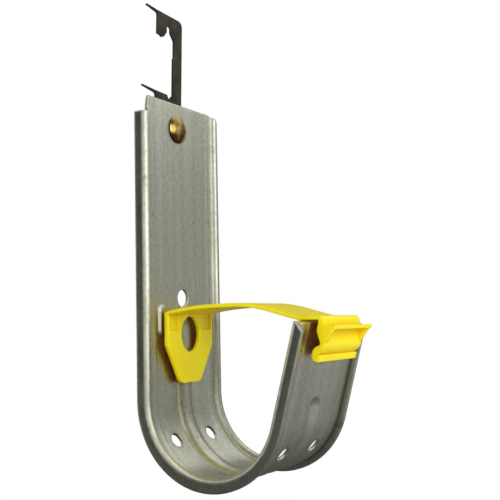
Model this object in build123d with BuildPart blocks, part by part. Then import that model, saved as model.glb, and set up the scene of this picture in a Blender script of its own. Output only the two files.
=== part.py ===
import os
from math import atan2, cos, radians, sin, sqrt, tan
from build123d import *

# Cable J-hook, in millimetres. The origin is the screw hole's centre on the back plate's front face.
# X runs forward from the plate to the lip, Y across the strip and Z up.

# Strip of galvanised sheet and the path that it is bent along
sheet = 1.2
strip_width = 50.8
plate_rise = 78.6
bend_drop = 38.8
bend_radius = 28.3
lip_lean = 15.2
lip_length = 37.2

# Section of the strip: flat middle, slightly raised side bands, rolled rims turned away from the cables
flat_width = 34.0
band_run = 0.6
band_rise = 0.15
rim_run = 0.6
rim_rise = 1.7
rim_radius = 2.4
rim_depth = 5.05
fold_inside = 0.1
foot_radius = 0.3
rim_end_slant = 2.4

# Stiffening bead along the middle, from the plate round the bend to the lip
bead_width = 9.6
bead_height = 1.7
bead_start_drop = 12.4
bead_lip_run = 5.0

# Top of the plate: relief notch at the left edge, rounded corner at the right
notch_depth = 6.9
notch_inset = 4.6
notch_slant = 1.5
top_corner_radius = 7.0

# Holes of the strip
screw_hole_dia = 7.0
tie_hole_dia = 5.8
tie_hole_offset = 11.5
tie_hole_first = 34.0
tie_hole_pitch = 54.0
tie_hole_rows = 3

# Pivot slots of the retainer, and the long pads pressed forward beside them
slot_drop = 6.5
slot_height = 2.6
slot_inner = 5.4
slot_outer = 10.6
pad_offset = 13.6
pad_drop = 8.8
pad_width = 5.0
pad_height = 12.4
pad_rise = 0.8
pad_slope = 45.0

# Rivet
rivet_drop = 10.4
rivet_shift = -2.2
rivet_head_dia = 11.0
rivet_head_height = 2.4
rivet_head_rim = 0.5
rivet_shank_dia = 5.0
rivet_tail_dia = 7.6
rivet_tail_height = 0.9
rivet_play = 0.05

# Hanger clip of flat spring steel, measured from the rivet's centre
clip_thickness = 0.8
clip_lean = 2.2
clip_height = 46.6
clip_base_radius = 7.0
spine_right = 4.1
spine_left = 1.2
spine_corner = 2.4
spine_step = 0.5
spine_step_rise = 30.0
jaw_reach = 12.1
jaw_depth = 9.6
jaw_slot_setback = 4.8
jaw_slot_width = 2.4
jaw_slot_depth = 5.2
jaw_flare_depth = 4.0
jaw_ear = 6.8
tooth_setback = 9.2
tooth_width = 2.8
tooth_height = 0.6
arm_rise = 13.5
arm_reach = 12.7
arm_depth = 8.6
arm_notch_setback = 3.9
arm_notch_dia = 2.6
arm_ear = 8.3
ear_lift = 0.3
ear_root = 1.1
ear_tip = 0.45
ear_fillet = 1.0

# Retainer of moulded plastic: pivot prongs in the slots, tab on the plate, strap, and latch on the lip
retainer_width = 30.0
play = 0.3
open_angle = 42.0
prong_side_gap = 1.1
prong_width = 3.0
neck_rise = 0.2
barb_height = 3.4
barb_depth = 1.3
barb_undercut = 0.9
tab_gap = 1.3
tab_thickness = 1.8
tab_edge_radius = 0.45
tab_drop = 27.0
tab_shoulder_drop = 12.0
tab_shoulder_radius = 4.0
tab_foot_width = 13.0
tab_foot_radius = 3.5
eye_width = 12.2
eye_height = 14.0
eye_drop = 7.8
pocket_setback = 11.1
pocket_width = 5.6
pocket_height = 6.0
pocket_drop = 3.2
pocket_depth = 0.9
strap_thickness = 1.4
root_rise = 1.05
strap_rise = 12.0
strap_crest = 3.6
strap_crest_reach = 34.0
strap_fall = 12.5
nose_radius = 2.0
lip_gap = 0.8
rib_width = 1.0
rib_height = 1.2
rib_setback = 5.0
latch_gap = 2.0
latch_wall = 1.9
latch_hollow = 2.2
latch_hollow_drop = 6.6
latch_scoop = 0.4
latch_drop = 12.7
latch_foot_height = 2.5
latch_foot_neck = 2.1
latch_foot_depth = 3.2
latch_foot_tip = 1.1
latch_foot_radius = 0.4
ledge_reach = 4.6
ledge_drop = 0.9
ledge_thickness = 1.4
gusset_width = 1.6
gusset_drop = 5.8

# Places worked out from the sizes above
half_strip = strip_width / 2
half_flat = flat_width / 2
half_retainer = retainer_width / 2
fold_radius = sheet + fold_inside
rim_turn = atan2(rim_rise, rim_run)
rim_top = half_strip - rim_radius - 1.1 * fold_radius * tan(rim_turn / 2)
rim_face = band_rise + rim_rise
lean = radians(lip_lean)
lip_up = Vector(sin(lean), 0, cos(lean))
lip_out = Vector(cos(lean), 0, -sin(lean))
bend_center = Vector(bend_radius, 0, -bend_drop)
lip_top = bend_center + lip_out * bend_radius + lip_up * lip_length
lip_top_outer = lip_top + lip_out * sheet
bead_radius = (bead_width**2 / 4 + bead_height**2) / (2 * bead_height)
bead_axis_depth = bead_radius - bead_height
pad_back_inset = sheet * tan(radians(pad_slope) / 2)
rim_out = rim_depth - rim_face - sheet
rivet_rise = plate_rise - rivet_drop
slot_middle = (slot_outer + slot_inner) / 2
hinge_x = -sheet / 2
hinge_z = -slot_drop
pivot_radius = slot_height / 2 - play
root_slope = radians(90 - open_angle)
root_back = pad_rise + tab_gap
tab_front = root_back + tab_thickness
root_clearance = pad_rise + sheet / 2 + play
root_top = hinge_z + root_rise
root_edge = hinge_x + (root_rise * cos(root_slope) + root_clearance) / sin(root_slope)
strap_top = hinge_z + strap_crest
rise = radians(strap_rise)
root_under = root_top - strap_thickness + (tab_front - root_edge) * tan(rise)
seat_top = lip_top.Z + lip_gap + strap_thickness
seat_under = seat_top - strap_thickness
seat_start = lip_top.X - rib_setback
seat_end = lip_top_outer.X + latch_gap + latch_wall
ledge_top = lip_top_outer.Z - ledge_drop
fall = radians(strap_fall)
clip_tilt = radians(clip_lean)

# Planes of the sections and outlines
strip_plane = Plane(origin=(0, 0, -bend_drop), x_dir=(0, 1, 0), z_dir=(0, 0, -1))
bend_axis = Axis(bend_center, (0, -1, 0))
bead_plane = Plane(origin=(0, 0, -bead_start_drop), x_dir=(0, 1, 0), z_dir=(0, 0, -1))
lip_plane = Plane(origin=lip_top_outer, x_dir=lip_out, z_dir=(0, -1, 0))
rivet_plane = Plane(origin=(0, rivet_shift, rivet_rise), x_dir=(1, 0, 0), z_dir=(0, -1, 0))
clip_plane = Plane(
    origin=(-sheet, rivet_shift, rivet_rise),
    x_dir=(0, cos(clip_tilt), -sin(clip_tilt)),
    z_dir=(1, 0, 0),
)
tab_plane = Plane(origin=(tab_front, 0, hinge_z), x_dir=(0, 1, 0), z_dir=(1, 0, 0))


def bend_point(angle, depth, y):
    # Point of the bend at an angle from the back plate, depth outside the inner face
    turn = radians(180 + angle)
    reach = bend_radius + depth
    return bend_center + Vector(reach * cos(turn), y, reach * sin(turn))


def bead_half_width(radius, level):
    # Half of the bead's width at a level above the strip's inner face
    return sqrt(radius**2 - (level + bead_axis_depth) ** 2)


def root_level(x):
    # Height of the retainer's sloped root, which lies flat along the pads when the strap is open
    return hinge_z + ((x - hinge_x) * sin(root_slope) - root_clearance) / cos(root_slope)


# Hook body: one stamped strip
with BuildPart() as hook_body:
    with BuildSketch(strip_plane) as strip_section:
        with BuildLine() as strip_face:
            Polyline(
                (0, 0),
                (half_flat, 0),
                (half_flat + band_run, band_rise),
                (rim_top - rim_run, band_rise),
                (rim_top, rim_face),
                (half_strip, rim_face),
                (half_strip, rim_face - rim_depth),
            )
            corners = strip_face.vertices().sort_by(Axis.X)
            fillet(corners[3], foot_radius)
            fillet(corners[4], fold_radius)
            fillet(corners[5:].sort_by(Axis.Y)[-1], rim_radius)
            mirror(about=Plane.YZ)
            offset(amount=sheet, side=Side.RIGHT)
        make_face()
    extrude(amount=-(plate_rise + bend_drop))
    revolve(strip_section.sketch, axis=bend_axis, revolution_arc=180 - lip_lean)
    extrude(strip_section.sketch.rotate(bend_axis, 180 - lip_lean), amount=lip_length)

    # Bead: a ridge inside and its groove outside, with rounded ends
    with BuildLine(Plane.XZ) as bead_path:
        bead_line = Line((0, -bead_start_drop), (0, -bend_drop))
        bead_arc = JernArc(bead_line @ 1, bead_line % 1, bend_radius, 180 - lip_lean)
        bead_lip = Line(bead_arc @ 1, bead_arc @ 1 + lip_up * bead_lip_run)
    for radius, level, crown, mode in (
        (bead_radius, -sheet / 2, bead_height, Mode.ADD),
        (bead_radius - sheet, -2 * sheet, bead_height - sheet, Mode.SUBTRACT),
    ):
        half_width = bead_half_width(radius, level)
        with BuildSketch(bead_plane):
            with BuildLine():
                ThreePointArc((-half_width, level), (0, crown), (half_width, level))
                Line((half_width, level), (-half_width, level))
            make_face()
        sweep(path=bead_path.wires()[0], mode=mode)
        for end, inward in ((bead_line @ 0, Vector(1, 0, 0)), (bead_lip @ 1, lip_out * -1)):
            with BuildSketch(Plane(origin=end, x_dir=(0, 1, 0), z_dir=Vector(0, 1, 0).cross(inward))):
                with BuildLine():
                    RadiusArc((0, crown), (half_width, level), radius)
                    Polyline((half_width, level), (0, level), (0, crown))
                make_face()
            revolve(axis=Axis(end, inward), mode=mode)

    # Pads beside the slots, raised in front and hollow behind
    for level, inset, mode in ((0, 0, Mode.ADD), (-sheet, pad_back_inset, Mode.SUBTRACT)):
        with BuildSketch(Plane.YZ.offset(level)):
            with Locations((-pad_offset, -pad_drop), (pad_offset, -pad_drop)):
                SlotOverall(pad_height - 2 * inset, pad_width - 2 * inset, rotation=90)
        extrude(amount=pad_rise, taper=pad_slope, mode=mode)

    # Screw hole, retainer slots and rivet hole
    with BuildSketch(Plane.YZ):
        Circle(screw_hole_dia / 2)
        with Locations((-slot_middle, -slot_drop), (slot_middle, -slot_drop)):
            SlotOverall(slot_outer - slot_inner, slot_height)
        with Locations((rivet_shift, rivet_rise)):
            Circle(rivet_shank_dia / 2)
    extrude(amount=2 * sheet, both=True, mode=Mode.SUBTRACT)

    # Tie holes through the bend, in pairs either side of the bead
    for row in range(tie_hole_rows):
        angle = tie_hole_first + row * tie_hole_pitch
        for y in (-tie_hole_offset, tie_hole_offset):
            mouth = bend_point(angle, -sheet, y)
            with Locations(Plane(origin=mouth, z_dir=mouth - bend_point(angle, 0, y))):
                Hole(tie_hole_dia / 2, 3 * sheet)

    # Outline of the plate's top
    with BuildSketch(Plane.YZ):
        with BuildLine():
            Polyline(
                (-half_strip - sheet, plate_rise + sheet),
                (-half_strip - sheet, plate_rise - notch_depth),
                (-half_strip + notch_inset - notch_slant, plate_rise - notch_depth),
                (-half_strip + notch_inset, plate_rise),
                (-half_strip + notch_inset, plate_rise + sheet),
                close=True,
            )
        make_face()
        with Locations((half_strip - top_corner_radius, plate_rise - top_corner_radius)):
            Rectangle(top_corner_radius + sheet, top_corner_radius + sheet, align=(Align.MIN, Align.MIN))
            Circle(top_corner_radius, mode=Mode.SUBTRACT)
    extrude(amount=2 * rim_depth, both=True, mode=Mode.SUBTRACT)

    # Slanted ends of the rims at the lip
    for start in (half_strip - rim_radius, -half_strip - sheet):
        with BuildSketch(lip_plane.offset(start)):
            with BuildLine():
                Polyline(
                    (-sheet, 0),
                    (rim_out, -rim_end_slant),
                    (rim_out, sheet),
                    (-sheet, sheet),
                    close=True,
                )
            make_face()
        extrude(amount=rim_radius + sheet, mode=Mode.SUBTRACT)
hook_body.part.label = "hook_body"

# Rivet: domed head in front, shank through plate and clip, flattened tail behind
with BuildPart() as rivet:
    head_radius = rivet_head_dia / 2
    shank_radius = rivet_shank_dia / 2 - rivet_play
    dome_rise = rivet_head_height - rivet_head_rim
    tail_front = -sheet - clip_thickness
    tail_back = tail_front - rivet_tail_height
    with BuildSketch(rivet_plane):
        with BuildLine():
            dome_radius = (head_radius**2 + dome_rise**2) / (2 * dome_rise)
            RadiusArc((rivet_head_rim, head_radius), (rivet_head_height, 0), dome_radius)
            Polyline(
                (rivet_head_height, 0),
                (tail_back, 0),
                (tail_back, rivet_tail_dia / 2),
                (tail_front, rivet_tail_dia / 2),
                (tail_front, shank_radius),
                (0, shank_radius),
                (0, head_radius),
                (rivet_head_rim, head_radius),
            )
        make_face()
    revolve(axis=Axis((0, rivet_shift, rivet_rise), (1, 0, 0)))
rivet.part.label = "rivet"

# Hanger clip: a flat C of spring steel behind the plate, riveted with a slight lean
with BuildPart() as hanger_clip:
    jaw_floor = clip_height - jaw_depth
    with BuildSketch(clip_plane) as clip_face:
        with BuildLine():
            Polyline(
                (spine_right, 0),
                (spine_right, clip_height),
                (-jaw_reach, clip_height),
                (-jaw_reach - jaw_ear, clip_height + ear_lift),
                (-jaw_reach - jaw_ear, clip_height + ear_lift - ear_tip),
                (-jaw_reach, clip_height - ear_root),
                (-jaw_reach, jaw_floor),
                (-tooth_setback - tooth_width / 2, jaw_floor),
                (-tooth_setback, jaw_floor - tooth_height),
                (-tooth_setback + tooth_width / 2, jaw_floor),
                (-jaw_slot_setback, jaw_floor + jaw_flare_depth),
                (-spine_left, jaw_floor),
                (-spine_left, spine_step_rise),
                (-spine_left - spine_step, spine_step_rise - spine_step),
                (-spine_left - spine_step, arm_rise),
                (-arm_reach, arm_rise),
                (-arm_reach - arm_ear, arm_rise + ear_lift),
                (-arm_reach - arm_ear, arm_rise + ear_lift - ear_tip),
                (-arm_reach, arm_rise - ear_root),
                (-arm_reach, arm_rise - arm_depth),
                (-clip_base_radius, 0),
                close=True,
            )
        make_face()
        fillet(clip_face.vertices().sort_by_distance((spine_right, clip_height))[0], spine_corner)
        for reach, level in ((jaw_reach, clip_height - ear_root), (arm_reach, arm_rise - ear_root)):
            fillet(clip_face.vertices().sort_by_distance((-reach, level))[0], ear_fillet)
        Circle(clip_base_radius)
        Circle(rivet_shank_dia / 2, mode=Mode.SUBTRACT)
        with Locations((-jaw_slot_setback, jaw_floor)):
            SlotOverall(2 * jaw_slot_depth, jaw_slot_width, rotation=90, mode=Mode.SUBTRACT)
        with Locations((-arm_notch_setback, arm_rise)):
            Circle(arm_notch_dia / 2, mode=Mode.SUBTRACT)
    extrude(amount=-clip_thickness)
hanger_clip.part.label = "hanger_clip"

# Retainer: one moulding
with BuildPart() as retainer:
    # Tab with its eye and two pockets
    tab_top = root_under - hinge_z
    with BuildSketch(tab_plane) as tab_face:
        with BuildLine():
            Polyline(
                (half_retainer, tab_top),
                (half_retainer, -tab_shoulder_drop),
                (tab_foot_width / 2, -tab_drop),
                (-tab_foot_width / 2, -tab_drop),
                (-half_retainer, -tab_shoulder_drop),
                (-half_retainer, tab_top),
                close=True,
            )
        make_face()
        foot_corners, shoulders, _ = tab_face.vertices().group_by(Axis.Y)
        fillet(foot_corners, tab_foot_radius)
        fillet(shoulders, tab_shoulder_radius)
        with Locations((0, -eye_drop)):
            Ellipse(eye_width / 2, eye_height / 2, mode=Mode.SUBTRACT)
    extrude(amount=-tab_thickness)
    fillet(retainer.edges().group_by(Axis.X)[-1].sort_by(Axis.Z)[:-1], tab_edge_radius)
    with BuildSketch(tab_plane):
        with Locations((-pocket_setback, -pocket_drop), (pocket_setback, -pocket_drop)):
            Rectangle(pocket_width, pocket_height)
    extrude(amount=-pocket_depth, mode=Mode.SUBTRACT)

    # Strap: a low arch from the sloped root to the seat over the lip, with a rib inside the lip
    with BuildSketch(Plane.XZ):
        with BuildLine():
            for root, drop in (((root_edge, root_top), 0), ((tab_front, root_under), strap_thickness)):
                Spline(
                    root,
                    (strap_crest_reach, strap_top - drop),
                    tangents=((cos(rise), sin(rise)), (1, 0)),
                )
                Spline(
                    (strap_crest_reach, strap_top - drop),
                    (seat_start, seat_top - drop),
                    tangents=((1, 0), (cos(fall), -sin(fall))),
                )
            Polyline(
                (root_edge, root_top),
                (root_back, root_level(root_back)),
                (root_back, root_under),
                (tab_front, root_under),
            )
            Line((seat_start, seat_top), (seat_end - nose_radius, seat_top))
            RadiusArc((seat_end - nose_radius, seat_top), (seat_end, seat_top - nose_radius), nose_radius)
            Polyline(
                (seat_end, seat_top - nose_radius),
                (seat_end, ledge_top),
                (seat_end - latch_wall, ledge_top),
                (seat_end - latch_wall, seat_under),
                (seat_start, seat_under),
            )
        make_face()
        with Locations((seat_start + rib_width / 2, seat_under)):
            Rectangle(rib_width, 2 * rib_height)
    extrude(amount=half_retainer, both=True)

    # Latch: a waved wall down the outside of the lip, ending in a hooked foot
    with BuildSketch(lip_plane) as latch_face:
        with BuildLine():
            foot_level = latch_foot_height - latch_drop
            foot_front = latch_gap + latch_foot_depth
            hollow = latch_gap + latch_hollow
            inner_wave = Spline(
                (latch_gap, lip_gap),
                (latch_gap, -latch_hollow_drop / 3),
                (hollow, -latch_hollow_drop),
                (latch_gap, foot_level),
                tangents=((0, -1), (0, -1)),
            )
            outer_wave = Spline(
                (latch_gap + latch_wall, lip_gap),
                (latch_gap + latch_wall + latch_scoop, -latch_hollow_drop / 3),
                (hollow + latch_wall, -latch_hollow_drop),
                (latch_gap + latch_foot_neck, foot_level),
                tangents=((0, -1), (-1, -1)),
            )
            Line(inner_wave @ 0, outer_wave @ 0)
            Polyline(
                inner_wave @ 1,
                (latch_gap, foot_level - latch_foot_tip),
                (latch_gap + latch_foot_tip, -latch_drop),
                (foot_front, -latch_drop),
                (foot_front, foot_level),
                outer_wave @ 1,
            )
        make_face()
        for corner, radius in (
            ((latch_gap, foot_level - latch_foot_tip), latch_foot_tip),
            ((latch_gap + latch_foot_tip, -latch_drop), latch_foot_tip),
            ((foot_front, -latch_drop), latch_foot_radius),
            ((foot_front, foot_level), latch_foot_radius),
        ):
            fillet(latch_face.vertices().sort_by_distance(corner)[0], radius)
    extrude(amount=half_retainer, both=True)

    # Thumb ledge with a gusset at each end
    with BuildSketch(Plane.XZ):
        with Locations((seat_end - latch_wall, ledge_top)):
            Rectangle(latch_wall + ledge_reach, ledge_thickness, align=(Align.MIN, Align.MAX))
    extrude(amount=half_retainer, both=True)
    hollow_back = lip_plane.from_local_coords((hollow + latch_wall / 2, -gusset_drop))
    for start in (half_retainer - gusset_width, -half_retainer):
        with BuildSketch(Plane.XZ.offset(start)):
            with BuildLine():
                Polyline(
                    (seat_end - latch_wall / 2, ledge_top - ledge_thickness / 2),
                    (seat_end + ledge_reach, ledge_top - ledge_thickness / 2),
                    (hollow_back.X + latch_wall / 2, hollow_back.Z),
                    (hollow_back.X, hollow_back.Z),
                    close=True,
                )
            make_face()
        extrude(amount=gusset_width)

    # Prongs through the slots: round pivot, neck to the tab, barb behind the plate
    prong_inner = slot_inner + prong_side_gap
    barb_front = -sheet - play
    barb_back = barb_front - barb_depth
    neck_front = root_back + tab_thickness / 2
    for start in (prong_inner, -prong_inner - prong_width):
        with BuildSketch(Plane.XZ.offset(start)):
            with Locations((hinge_x, hinge_z)):
                Circle(pivot_radius)
            with BuildLine():
                Polyline(
                    (hinge_x, hinge_z - pivot_radius),
                    (neck_front, hinge_z - pivot_radius),
                    (neck_front, hinge_z + neck_rise),
                    (hinge_x, hinge_z + neck_rise),
                    close=True,
                )
            make_face()
            with BuildLine():
                Polyline(
                    (barb_front, hinge_z),
                    (barb_back, hinge_z + barb_undercut),
                    (barb_back, hinge_z + barb_height - barb_depth / 2),
                    (barb_front, hinge_z + barb_height),
                    close=True,
                )
            make_face()
        extrude(amount=prong_width)
retainer.part.label = "retainer"

os.makedirs("parts", exist_ok=True)
for piece in (hook_body, rivet, hanger_clip, retainer):
    export_step(piece.part, f"parts/{piece.part.label}.step")
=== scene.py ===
import bpy
from mathutils import Matrix, Vector


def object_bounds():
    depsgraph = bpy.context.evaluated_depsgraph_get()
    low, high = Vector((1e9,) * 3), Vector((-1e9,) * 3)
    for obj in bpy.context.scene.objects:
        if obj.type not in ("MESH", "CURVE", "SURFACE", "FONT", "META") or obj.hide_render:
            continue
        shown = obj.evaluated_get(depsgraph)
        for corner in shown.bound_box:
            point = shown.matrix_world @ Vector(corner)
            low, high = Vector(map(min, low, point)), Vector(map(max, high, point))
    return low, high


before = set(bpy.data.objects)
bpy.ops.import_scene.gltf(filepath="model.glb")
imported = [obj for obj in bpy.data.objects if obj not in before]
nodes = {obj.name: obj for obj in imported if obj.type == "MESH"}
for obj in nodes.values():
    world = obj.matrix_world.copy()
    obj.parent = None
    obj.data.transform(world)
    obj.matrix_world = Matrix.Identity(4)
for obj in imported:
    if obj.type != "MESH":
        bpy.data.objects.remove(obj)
cadLow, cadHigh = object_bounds()
print("frame loaded:", ", ".join(sorted(nodes)))


# node building, shared by all the finishes
untinted = (1.0, 1.0, 1.0)
shadeSamples = 6


def newFinish(name):
    finish = bpy.data.materials.new(name)
    finish.use_nodes = True
    return finish, finish.node_tree, finish.node_tree.nodes["Principled BSDF"]


def addNode(tree, kind, links=None, **values):
    node = tree.nodes.new(kind)
    for socket, value in values.items():
        node.inputs[socket.replace("_", " ")].default_value = value
    for socket, source in (links or {}).items():
        tree.links.new(source, node.inputs[socket])
    return node


def scaledCoords(tree, scale):
    coords = tree.nodes.new("ShaderNodeTexCoord")
    links = {"Vector": coords.outputs["Object"]}
    return addNode(tree, "ShaderNodeMapping", links, Scale=scale).outputs[0]


def noise(tree, scale, detail=2.0, roughness=0.5):
    scale = scale if isinstance(scale, tuple) else (scale,) * 3
    links = {"Vector": scaledCoords(tree, scale)}
    node = addNode(tree, "ShaderNodeTexNoise", links, Scale=1.0, Detail=detail, Roughness=roughness)
    return node.outputs["Fac"]


def ramp(tree, source, stops):
    node = addNode(tree, "ShaderNodeValToRGB", {"Fac": source})
    points = node.color_ramp.elements
    points[0].position, points[0].color = stops[0][0], (*stops[0][1], 1)
    points[1].position, points[1].color = stops[-1][0], (*stops[-1][1], 1)
    for place, shade in stops[1:-1]:
        points.new(place).color = (*shade, 1)
    return node.outputs["Color"]


def remap(tree, source, low, high, fromLow=0.3, fromHigh=0.7):
    values = {"From_Min": fromLow, "From_Max": fromHigh, "To_Min": low, "To_Max": high}
    return addNode(tree, "ShaderNodeMapRange", {"Value": source}, **values).outputs["Result"]


def mathNode(tree, operation, first, second):
    node = tree.nodes.new("ShaderNodeMath")
    node.operation = operation
    node.use_clamp = True
    tree.links.new(first, node.inputs[0])
    tree.links.new(second, node.inputs[1])
    return node.outputs[0]


def multiply(tree, amount, first, second):
    node = tree.nodes.new("ShaderNodeMix")
    node.data_type = "RGBA"
    node.blend_type = "MULTIPLY"
    node.inputs["Factor"].default_value = amount
    tree.links.new(first, node.inputs["A"])
    tree.links.new(second, node.inputs["B"])
    return node.outputs["Result"]


# ambient occlusion, used by the finishes below to paint shade into folds, hollows and corners
def hollowShade(tree, reach):
    shade = addNode(tree, "ShaderNodeAmbientOcclusion", Distance=reach)
    shade.samples = shadeSamples
    return shade.outputs["AO"]


def roughen(tree, shader, height, depth, edgeRound):
    edge = addNode(tree, "ShaderNodeBevel", Radius=edgeRound)
    edge.samples = shadeSamples
    links = {"Height": height, "Normal": edge.outputs["Normal"]}
    bump = addNode(tree, "ShaderNodeBump", links, Strength=1.0, Distance=depth)
    tree.links.new(bump.outputs["Normal"], shader.inputs["Normal"])


def dress(node, finish):
    nodes[node].data.materials.clear()
    nodes[node].data.materials.append(finish)
    print(node, "dressed in", finish.name)


def seenRays(tree):
    rays = tree.nodes.new("ShaderNodeLightPath")
    direct = mathNode(tree, "ADD", rays.outputs["Is Camera Ray"], rays.outputs["Is Glossy Ray"])
    return mathNode(tree, "ADD", direct, rays.outputs["Is Transmission Ray"])


# galvanised strip: streaks run along the strip and round the bend, so they change only across it; painted
# shade darkens its folds and inside corners
strip = {
    "dull": (0.44, 0.45, 0.358),
    "plain": (0.53, 0.54, 0.440),
    "bright": (0.605, 0.615, 0.515),
    "streakScale": (6.0, 240.0, 6.0),
    "cloudScale": 60.0,
    "grainScale": 620.0,
    "speckScale": 230.0,
    "roughLow": 0.28,
    "roughHigh": 0.40,
    "foldShadeReach": 0.0025,
    "cloudTones": [(0.3, (0.88, 0.88, 0.86)), (0.7, (1.06, 1.06, 1.08))],
    "grainTones": [(0.3, (0.84, 0.84, 0.83)), (0.7, (1.10, 1.10, 1.11))],
    "speckTones": [(0.22, (0.74, 0.72, 0.69)), (0.29, untinted)],
    "foldShadeTones": [(0.4, (0.55, 0.53, 0.46)), (0.85, untinted)],
    "grainDepth": 0.000012,
    "edgeRound": 0.0011,
}
finish, tree, shader = newFinish("galvanisedStrip")
streaks = noise(tree, strip["streakScale"], detail=3.0, roughness=0.55)
clouds = noise(tree, strip["cloudScale"], detail=3.0)
grain = noise(tree, strip["grainScale"], detail=3.0, roughness=0.6)
specks = noise(tree, strip["speckScale"], detail=1.0)
tone = ramp(tree, streaks, [(0.25, strip["dull"]), (0.5, strip["plain"]), (0.75, strip["bright"])])
tone = multiply(tree, 1.0, tone, ramp(tree, clouds, strip["cloudTones"]))
tone = multiply(tree, 1.0, tone, ramp(tree, grain, strip["grainTones"]))
tone = multiply(tree, 1.0, tone, ramp(tree, specks, strip["speckTones"]))
# painted shade: the strip's colour is darkened by occlusion in folds and inside corners, where shade
# falls
paintedFoldShade = ramp(tree, hollowShade(tree, strip["foldShadeReach"]), strip["foldShadeTones"])
tree.links.new(multiply(tree, 1.0, tone, paintedFoldShade), shader.inputs["Base Color"])
tree.links.new(remap(tree, clouds, strip["roughHigh"], strip["roughLow"]), shader.inputs["Roughness"])
shader.inputs["Metallic"].default_value = 1.0
roughen(tree, shader, grain, strip["grainDepth"], strip["edgeRound"])
dress("hook_body", finish)

# hanger clip: dark phosphate coat, browner where it is rubbed
clip = {
    "coat": (0.013, 0.012, 0.008),
    "rubbed": (0.034, 0.028, 0.017),
    "gloss": 0.15,
    "roughLow": 0.42,
    "roughHigh": 0.60,
    "patchScale": 160.0,
    "grainScale": 1800.0,
    "grainDepth": 0.00002,
    "edgeRound": 0.00012,
}
finish, tree, shader = newFinish("darkSpringSteel")
patches = noise(tree, clip["patchScale"], detail=4.0)
grain = noise(tree, clip["grainScale"])
tone = ramp(tree, patches, [(0.38, clip["coat"]), (0.68, clip["rubbed"])])
tree.links.new(tone, shader.inputs["Base Color"])
tree.links.new(remap(tree, patches, clip["roughHigh"], clip["roughLow"]), shader.inputs["Roughness"])
shader.inputs["Specular IOR Level"].default_value = clip["gloss"]
roughen(tree, shader, grain, clip["grainDepth"], clip["edgeRound"])
dress("hanger_clip", finish)

# rivet: yellow passivated head, a little dented, with painted shade darkening it towards its rim where it
# meets the plate
rivet = {
    "dark": (0.075, 0.038, 0.009),
    "gold": (0.50, 0.36, 0.11),
    "rimShadeReach": 0.003,
    "rimShadeTones": [(0.65, (0.25, 0.19, 0.12)), (0.93, untinted)],
    "roughLow": 0.06,
    "roughHigh": 0.16,
    "stainScale": 210.0,
    "dentScale": 380.0,
    "dentDepth": 0.00007,
    "edgeRound": 0.0002,
}
finish, tree, shader = newFinish("yellowRivet")
stains = noise(tree, rivet["stainScale"], detail=4.0)
dents = noise(tree, rivet["dentScale"])
tone = ramp(tree, stains, [(0.40, rivet["dark"]), (0.64, rivet["gold"])])
# painted shade: occlusion darkens the head near its rim, where it meets the plate
paintedRimShade = ramp(tree, hollowShade(tree, rivet["rimShadeReach"]), rivet["rimShadeTones"])
tree.links.new(multiply(tree, 1.0, tone, paintedRimShade), shader.inputs["Base Color"])
tree.links.new(remap(tree, stains, rivet["roughHigh"], rivet["roughLow"]), shader.inputs["Roughness"])
shader.inputs["Metallic"].default_value = 1.0
roughen(tree, shader, dents, rivet["dentDepth"], rivet["edgeRound"])
dress("rivet", finish)

# retainer: yellow moulding, slightly translucent, fine mould grain, with painted orange shade in its
# hollows and corners
moulding = {
    "shade": (0.84, 0.65, 0.004),
    "yellow": (0.88, 0.72, 0.006),
    "gloss": 0.26,
    "hollowShadeReach": 0.008,
    "hollowShadeTones": [(0.25, (0.94, 0.74, 0.3)), (0.75, untinted)],
    "roughLow": 0.38,
    "roughHigh": 0.48,
    "flowScale": 45.0,
    "grainScale": 1500.0,
    "grainDepth": 0.00001,
    "edgeRound": 0.0004,
    "glow": 0.35,
    "glowReach": (0.0060, 0.0034, 0.0003),
}
finish, tree, shader = newFinish("yellowMoulding")
flow = noise(tree, moulding["flowScale"], detail=3.0)
grain = noise(tree, moulding["grainScale"])
tone = ramp(tree, flow, [(0.35, moulding["shade"]), (0.65, moulding["yellow"])])
# painted shade: occlusion tints hollows and corners darker and more orange, where shade falls
paintedHollowShade = ramp(tree, hollowShade(tree, moulding["hollowShadeReach"]), moulding["hollowShadeTones"])
tree.links.new(multiply(tree, 1.0, tone, paintedHollowShade), shader.inputs["Base Color"])
tree.links.new(remap(tree, flow, moulding["roughLow"], moulding["roughHigh"]), shader.inputs["Roughness"])
shader.inputs["Specular IOR Level"].default_value = moulding["gloss"]
shader.inputs["Subsurface Weight"].default_value = moulding["glow"]
shader.inputs["Subsurface Radius"].default_value = moulding["glowReach"]
shader.inputs["Subsurface Scale"].default_value = 1.0
roughen(tree, shader, grain, moulding["grainDepth"], moulding["edgeRound"])
dress("retainer", finish)

# floor: pale under the hanging hook, fading into the white surround
floor = {
    "drop": 0.09,
    "reach": 8.0,
    "tone": (0.70, 0.70, 0.69),
    "rough": 0.9,
    "fadeScale": 2.2,
    "fadeFrom": 0.15,
    "fadeTo": 0.75,
}
bpy.ops.mesh.primitive_plane_add(size=floor["reach"], location=(0, 0, cadLow.z - floor["drop"]))
ground = bpy.context.object
ground.name = "floor"
finish, tree, shader = newFinish("paleFloor")
shader.inputs["Base Color"].default_value = (*floor["tone"], 1)
shader.inputs["Roughness"].default_value = floor["rough"]
fade = addNode(tree, "ShaderNodeTexGradient", {"Vector": scaledCoords(tree, (floor["fadeScale"],) * 3)})
fade.gradient_type = "SPHERICAL"
far = remap(tree, fade.outputs["Fac"], 1.0, 0.0, fromLow=floor["fadeFrom"], fromHigh=floor["fadeTo"])
white = addNode(tree, "ShaderNodeEmission", Color=(1, 1, 1, 1), Strength=1.0)
blend = addNode(
    tree,
    "ShaderNodeMixShader",
    {
        "Fac": mathNode(tree, "MULTIPLY", seenRays(tree), far),
        1: shader.outputs["BSDF"],
        2: white.outputs["Emission"],
    },
)
tree.links.new(blend.outputs["Shader"], tree.nodes["Material Output"].inputs["Surface"])
ground.data.materials.append(finish)

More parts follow.
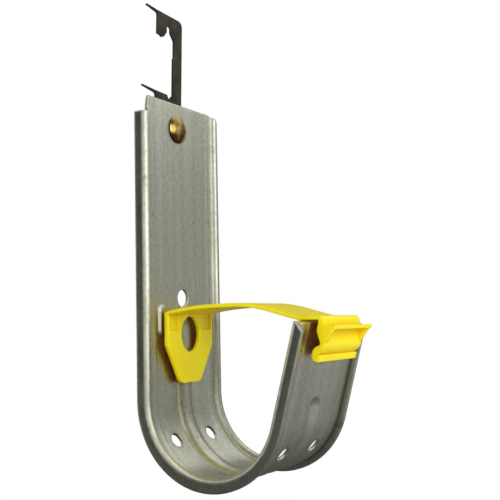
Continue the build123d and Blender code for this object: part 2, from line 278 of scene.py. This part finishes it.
# studio: white surround, three soft lamps, and grey cards that only the shiny surfaces mirror
studio = {
    "surround": 0.50,
    "aim": (0.02, 0, 0.01),
    "lamps": {
        "key": {"place": (0.90, -0.22, 0.22), "size": 0.7, "power": 2.4, "mirrored": True},
        "top": {"place": (0.15, 0.10, 0.85), "size": 0.6, "power": 1.0, "mirrored": True},
        "fill": {"place": (0.68, -0.61, 0.16), "size": 0.5, "power": 5.0, "mirrored": False},
    },
    "cards": {
        "leftCard": {
            "place": (-0.167, -0.464, 0.0),
            "size": (0.80, 1.0),
            "tones": [(0.0, 0.07), (0.5, 0.03), (0.70, 0.35), (0.88, 1.0), (1.0, 1.0)],
        },
        "rightCard": {
            "place": (0.252, 0.50, -0.10),
            "size": (0.95, 0.68),
            "tones": [(0.0, 0.70), (0.3, 0.37), (0.5, 0.46), (1.0, 0.12)],
        },
        "backCard": {
            "place": (-0.32, 0.42, 0.0),
            "size": (0.50, 1.0),
            "tones": [(0.0, 0.12), (1.0, 0.45)],
        },
        "lowCard": {
            "place": (0.25, 0.0, -0.14),
            "size": (1.1, 1.6),
            "tones": [(0.0, 0.14), (0.27, 0.08), (0.54, 0.56), (1.0, 0.7)],
            "flat": True,
        },
    },
}
world = bpy.data.worlds.new("studio")
bpy.context.scene.world = world
world.use_nodes = True
tree = world.node_tree
dim = tree.nodes["Background"]
dim.inputs["Color"].default_value = (1, 1, 1, 1)
dim.inputs["Strength"].default_value = studio["surround"]
white = addNode(tree, "ShaderNodeBackground", Color=(1, 1, 1, 1), Strength=1.0)
blend = addNode(
    tree,
    "ShaderNodeMixShader",
    {"Fac": seenRays(tree), 1: dim.outputs["Background"], 2: white.outputs["Background"]},
)
tree.links.new(blend.outputs["Shader"], tree.nodes["World Output"].inputs["Surface"])
aim = Vector(studio["aim"])


def faceAim(thing, place):
    thing.location = place
    thing.rotation_euler = (aim - Vector(place)).to_track_quat("-Z", "Y").to_euler()


for name, lamp in studio["lamps"].items():
    data = bpy.data.lights.new(name, "AREA")
    data.size = lamp["size"]
    data.energy = lamp["power"]
    light = bpy.data.objects.new(name, data)
    light.visible_camera = False
    light.visible_glossy = lamp["mirrored"]
    faceAim(light, lamp["place"])
    bpy.context.scene.collection.objects.link(light)
for name, card in studio["cards"].items():
    finish, tree, shader = newFinish(name)
    coords = tree.nodes.new("ShaderNodeTexCoord")
    across = addNode(tree, "ShaderNodeSeparateXYZ", {"Vector": coords.outputs["Object"]}).outputs["X"]
    along = remap(tree, across, 0.0, 1.0, fromLow=-0.5, fromHigh=0.5)
    shades = ramp(tree, along, [(place, (tone,) * 3) for place, tone in card["tones"]])
    glow = addNode(tree, "ShaderNodeEmission", {"Color": shades}, Strength=1.0)
    tree.links.new(glow.outputs["Emission"], tree.nodes["Material Output"].inputs["Surface"])
    bpy.ops.mesh.primitive_plane_add(size=1.0)
    panel = bpy.context.object
    panel.name = name
    panel.scale = (*card["size"], 1)
    panel.location = card["place"]
    if not card.get("flat"):
        faceAim(panel, card["place"])
    panel.data.materials.append(finish)
    panel.visible_camera = False
    panel.visible_diffuse = False
    panel.visible_transmission = False
    panel.visible_shadow = False
print("studio lit")

# camera: place and turn of the photograph, for a square picture
view = {
    "place": (0.2001, -0.2701, -0.0089),
    "right": (0.8485, 0.5289, -0.0195),
    "up": (0.0531, -0.0484, 0.9974),
    "sensor": 36.0,
    "lens": 59.89,
    "shift": (-0.0004, 0.0228),
    "clip": (0.01, 20.0),
}
right, up = Vector(view["right"]).normalized(), Vector(view["up"]).normalized()
back = right.cross(up)
data = bpy.data.cameras.new("photoView")
data.sensor_width = view["sensor"]
data.lens = view["lens"]
data.shift_x, data.shift_y = view["shift"]
data.clip_start, data.clip_end = view["clip"]
camera = bpy.data.objects.new("photoView", data)
camera.matrix_world = Matrix.Translation(view["place"]) @ Matrix((right, up, back)).transposed().to_4x4()
bpy.context.scene.collection.objects.link(camera)
bpy.context.scene.camera = camera
bpy.context.scene.view_settings.view_transform = "Standard"
print("camera set")
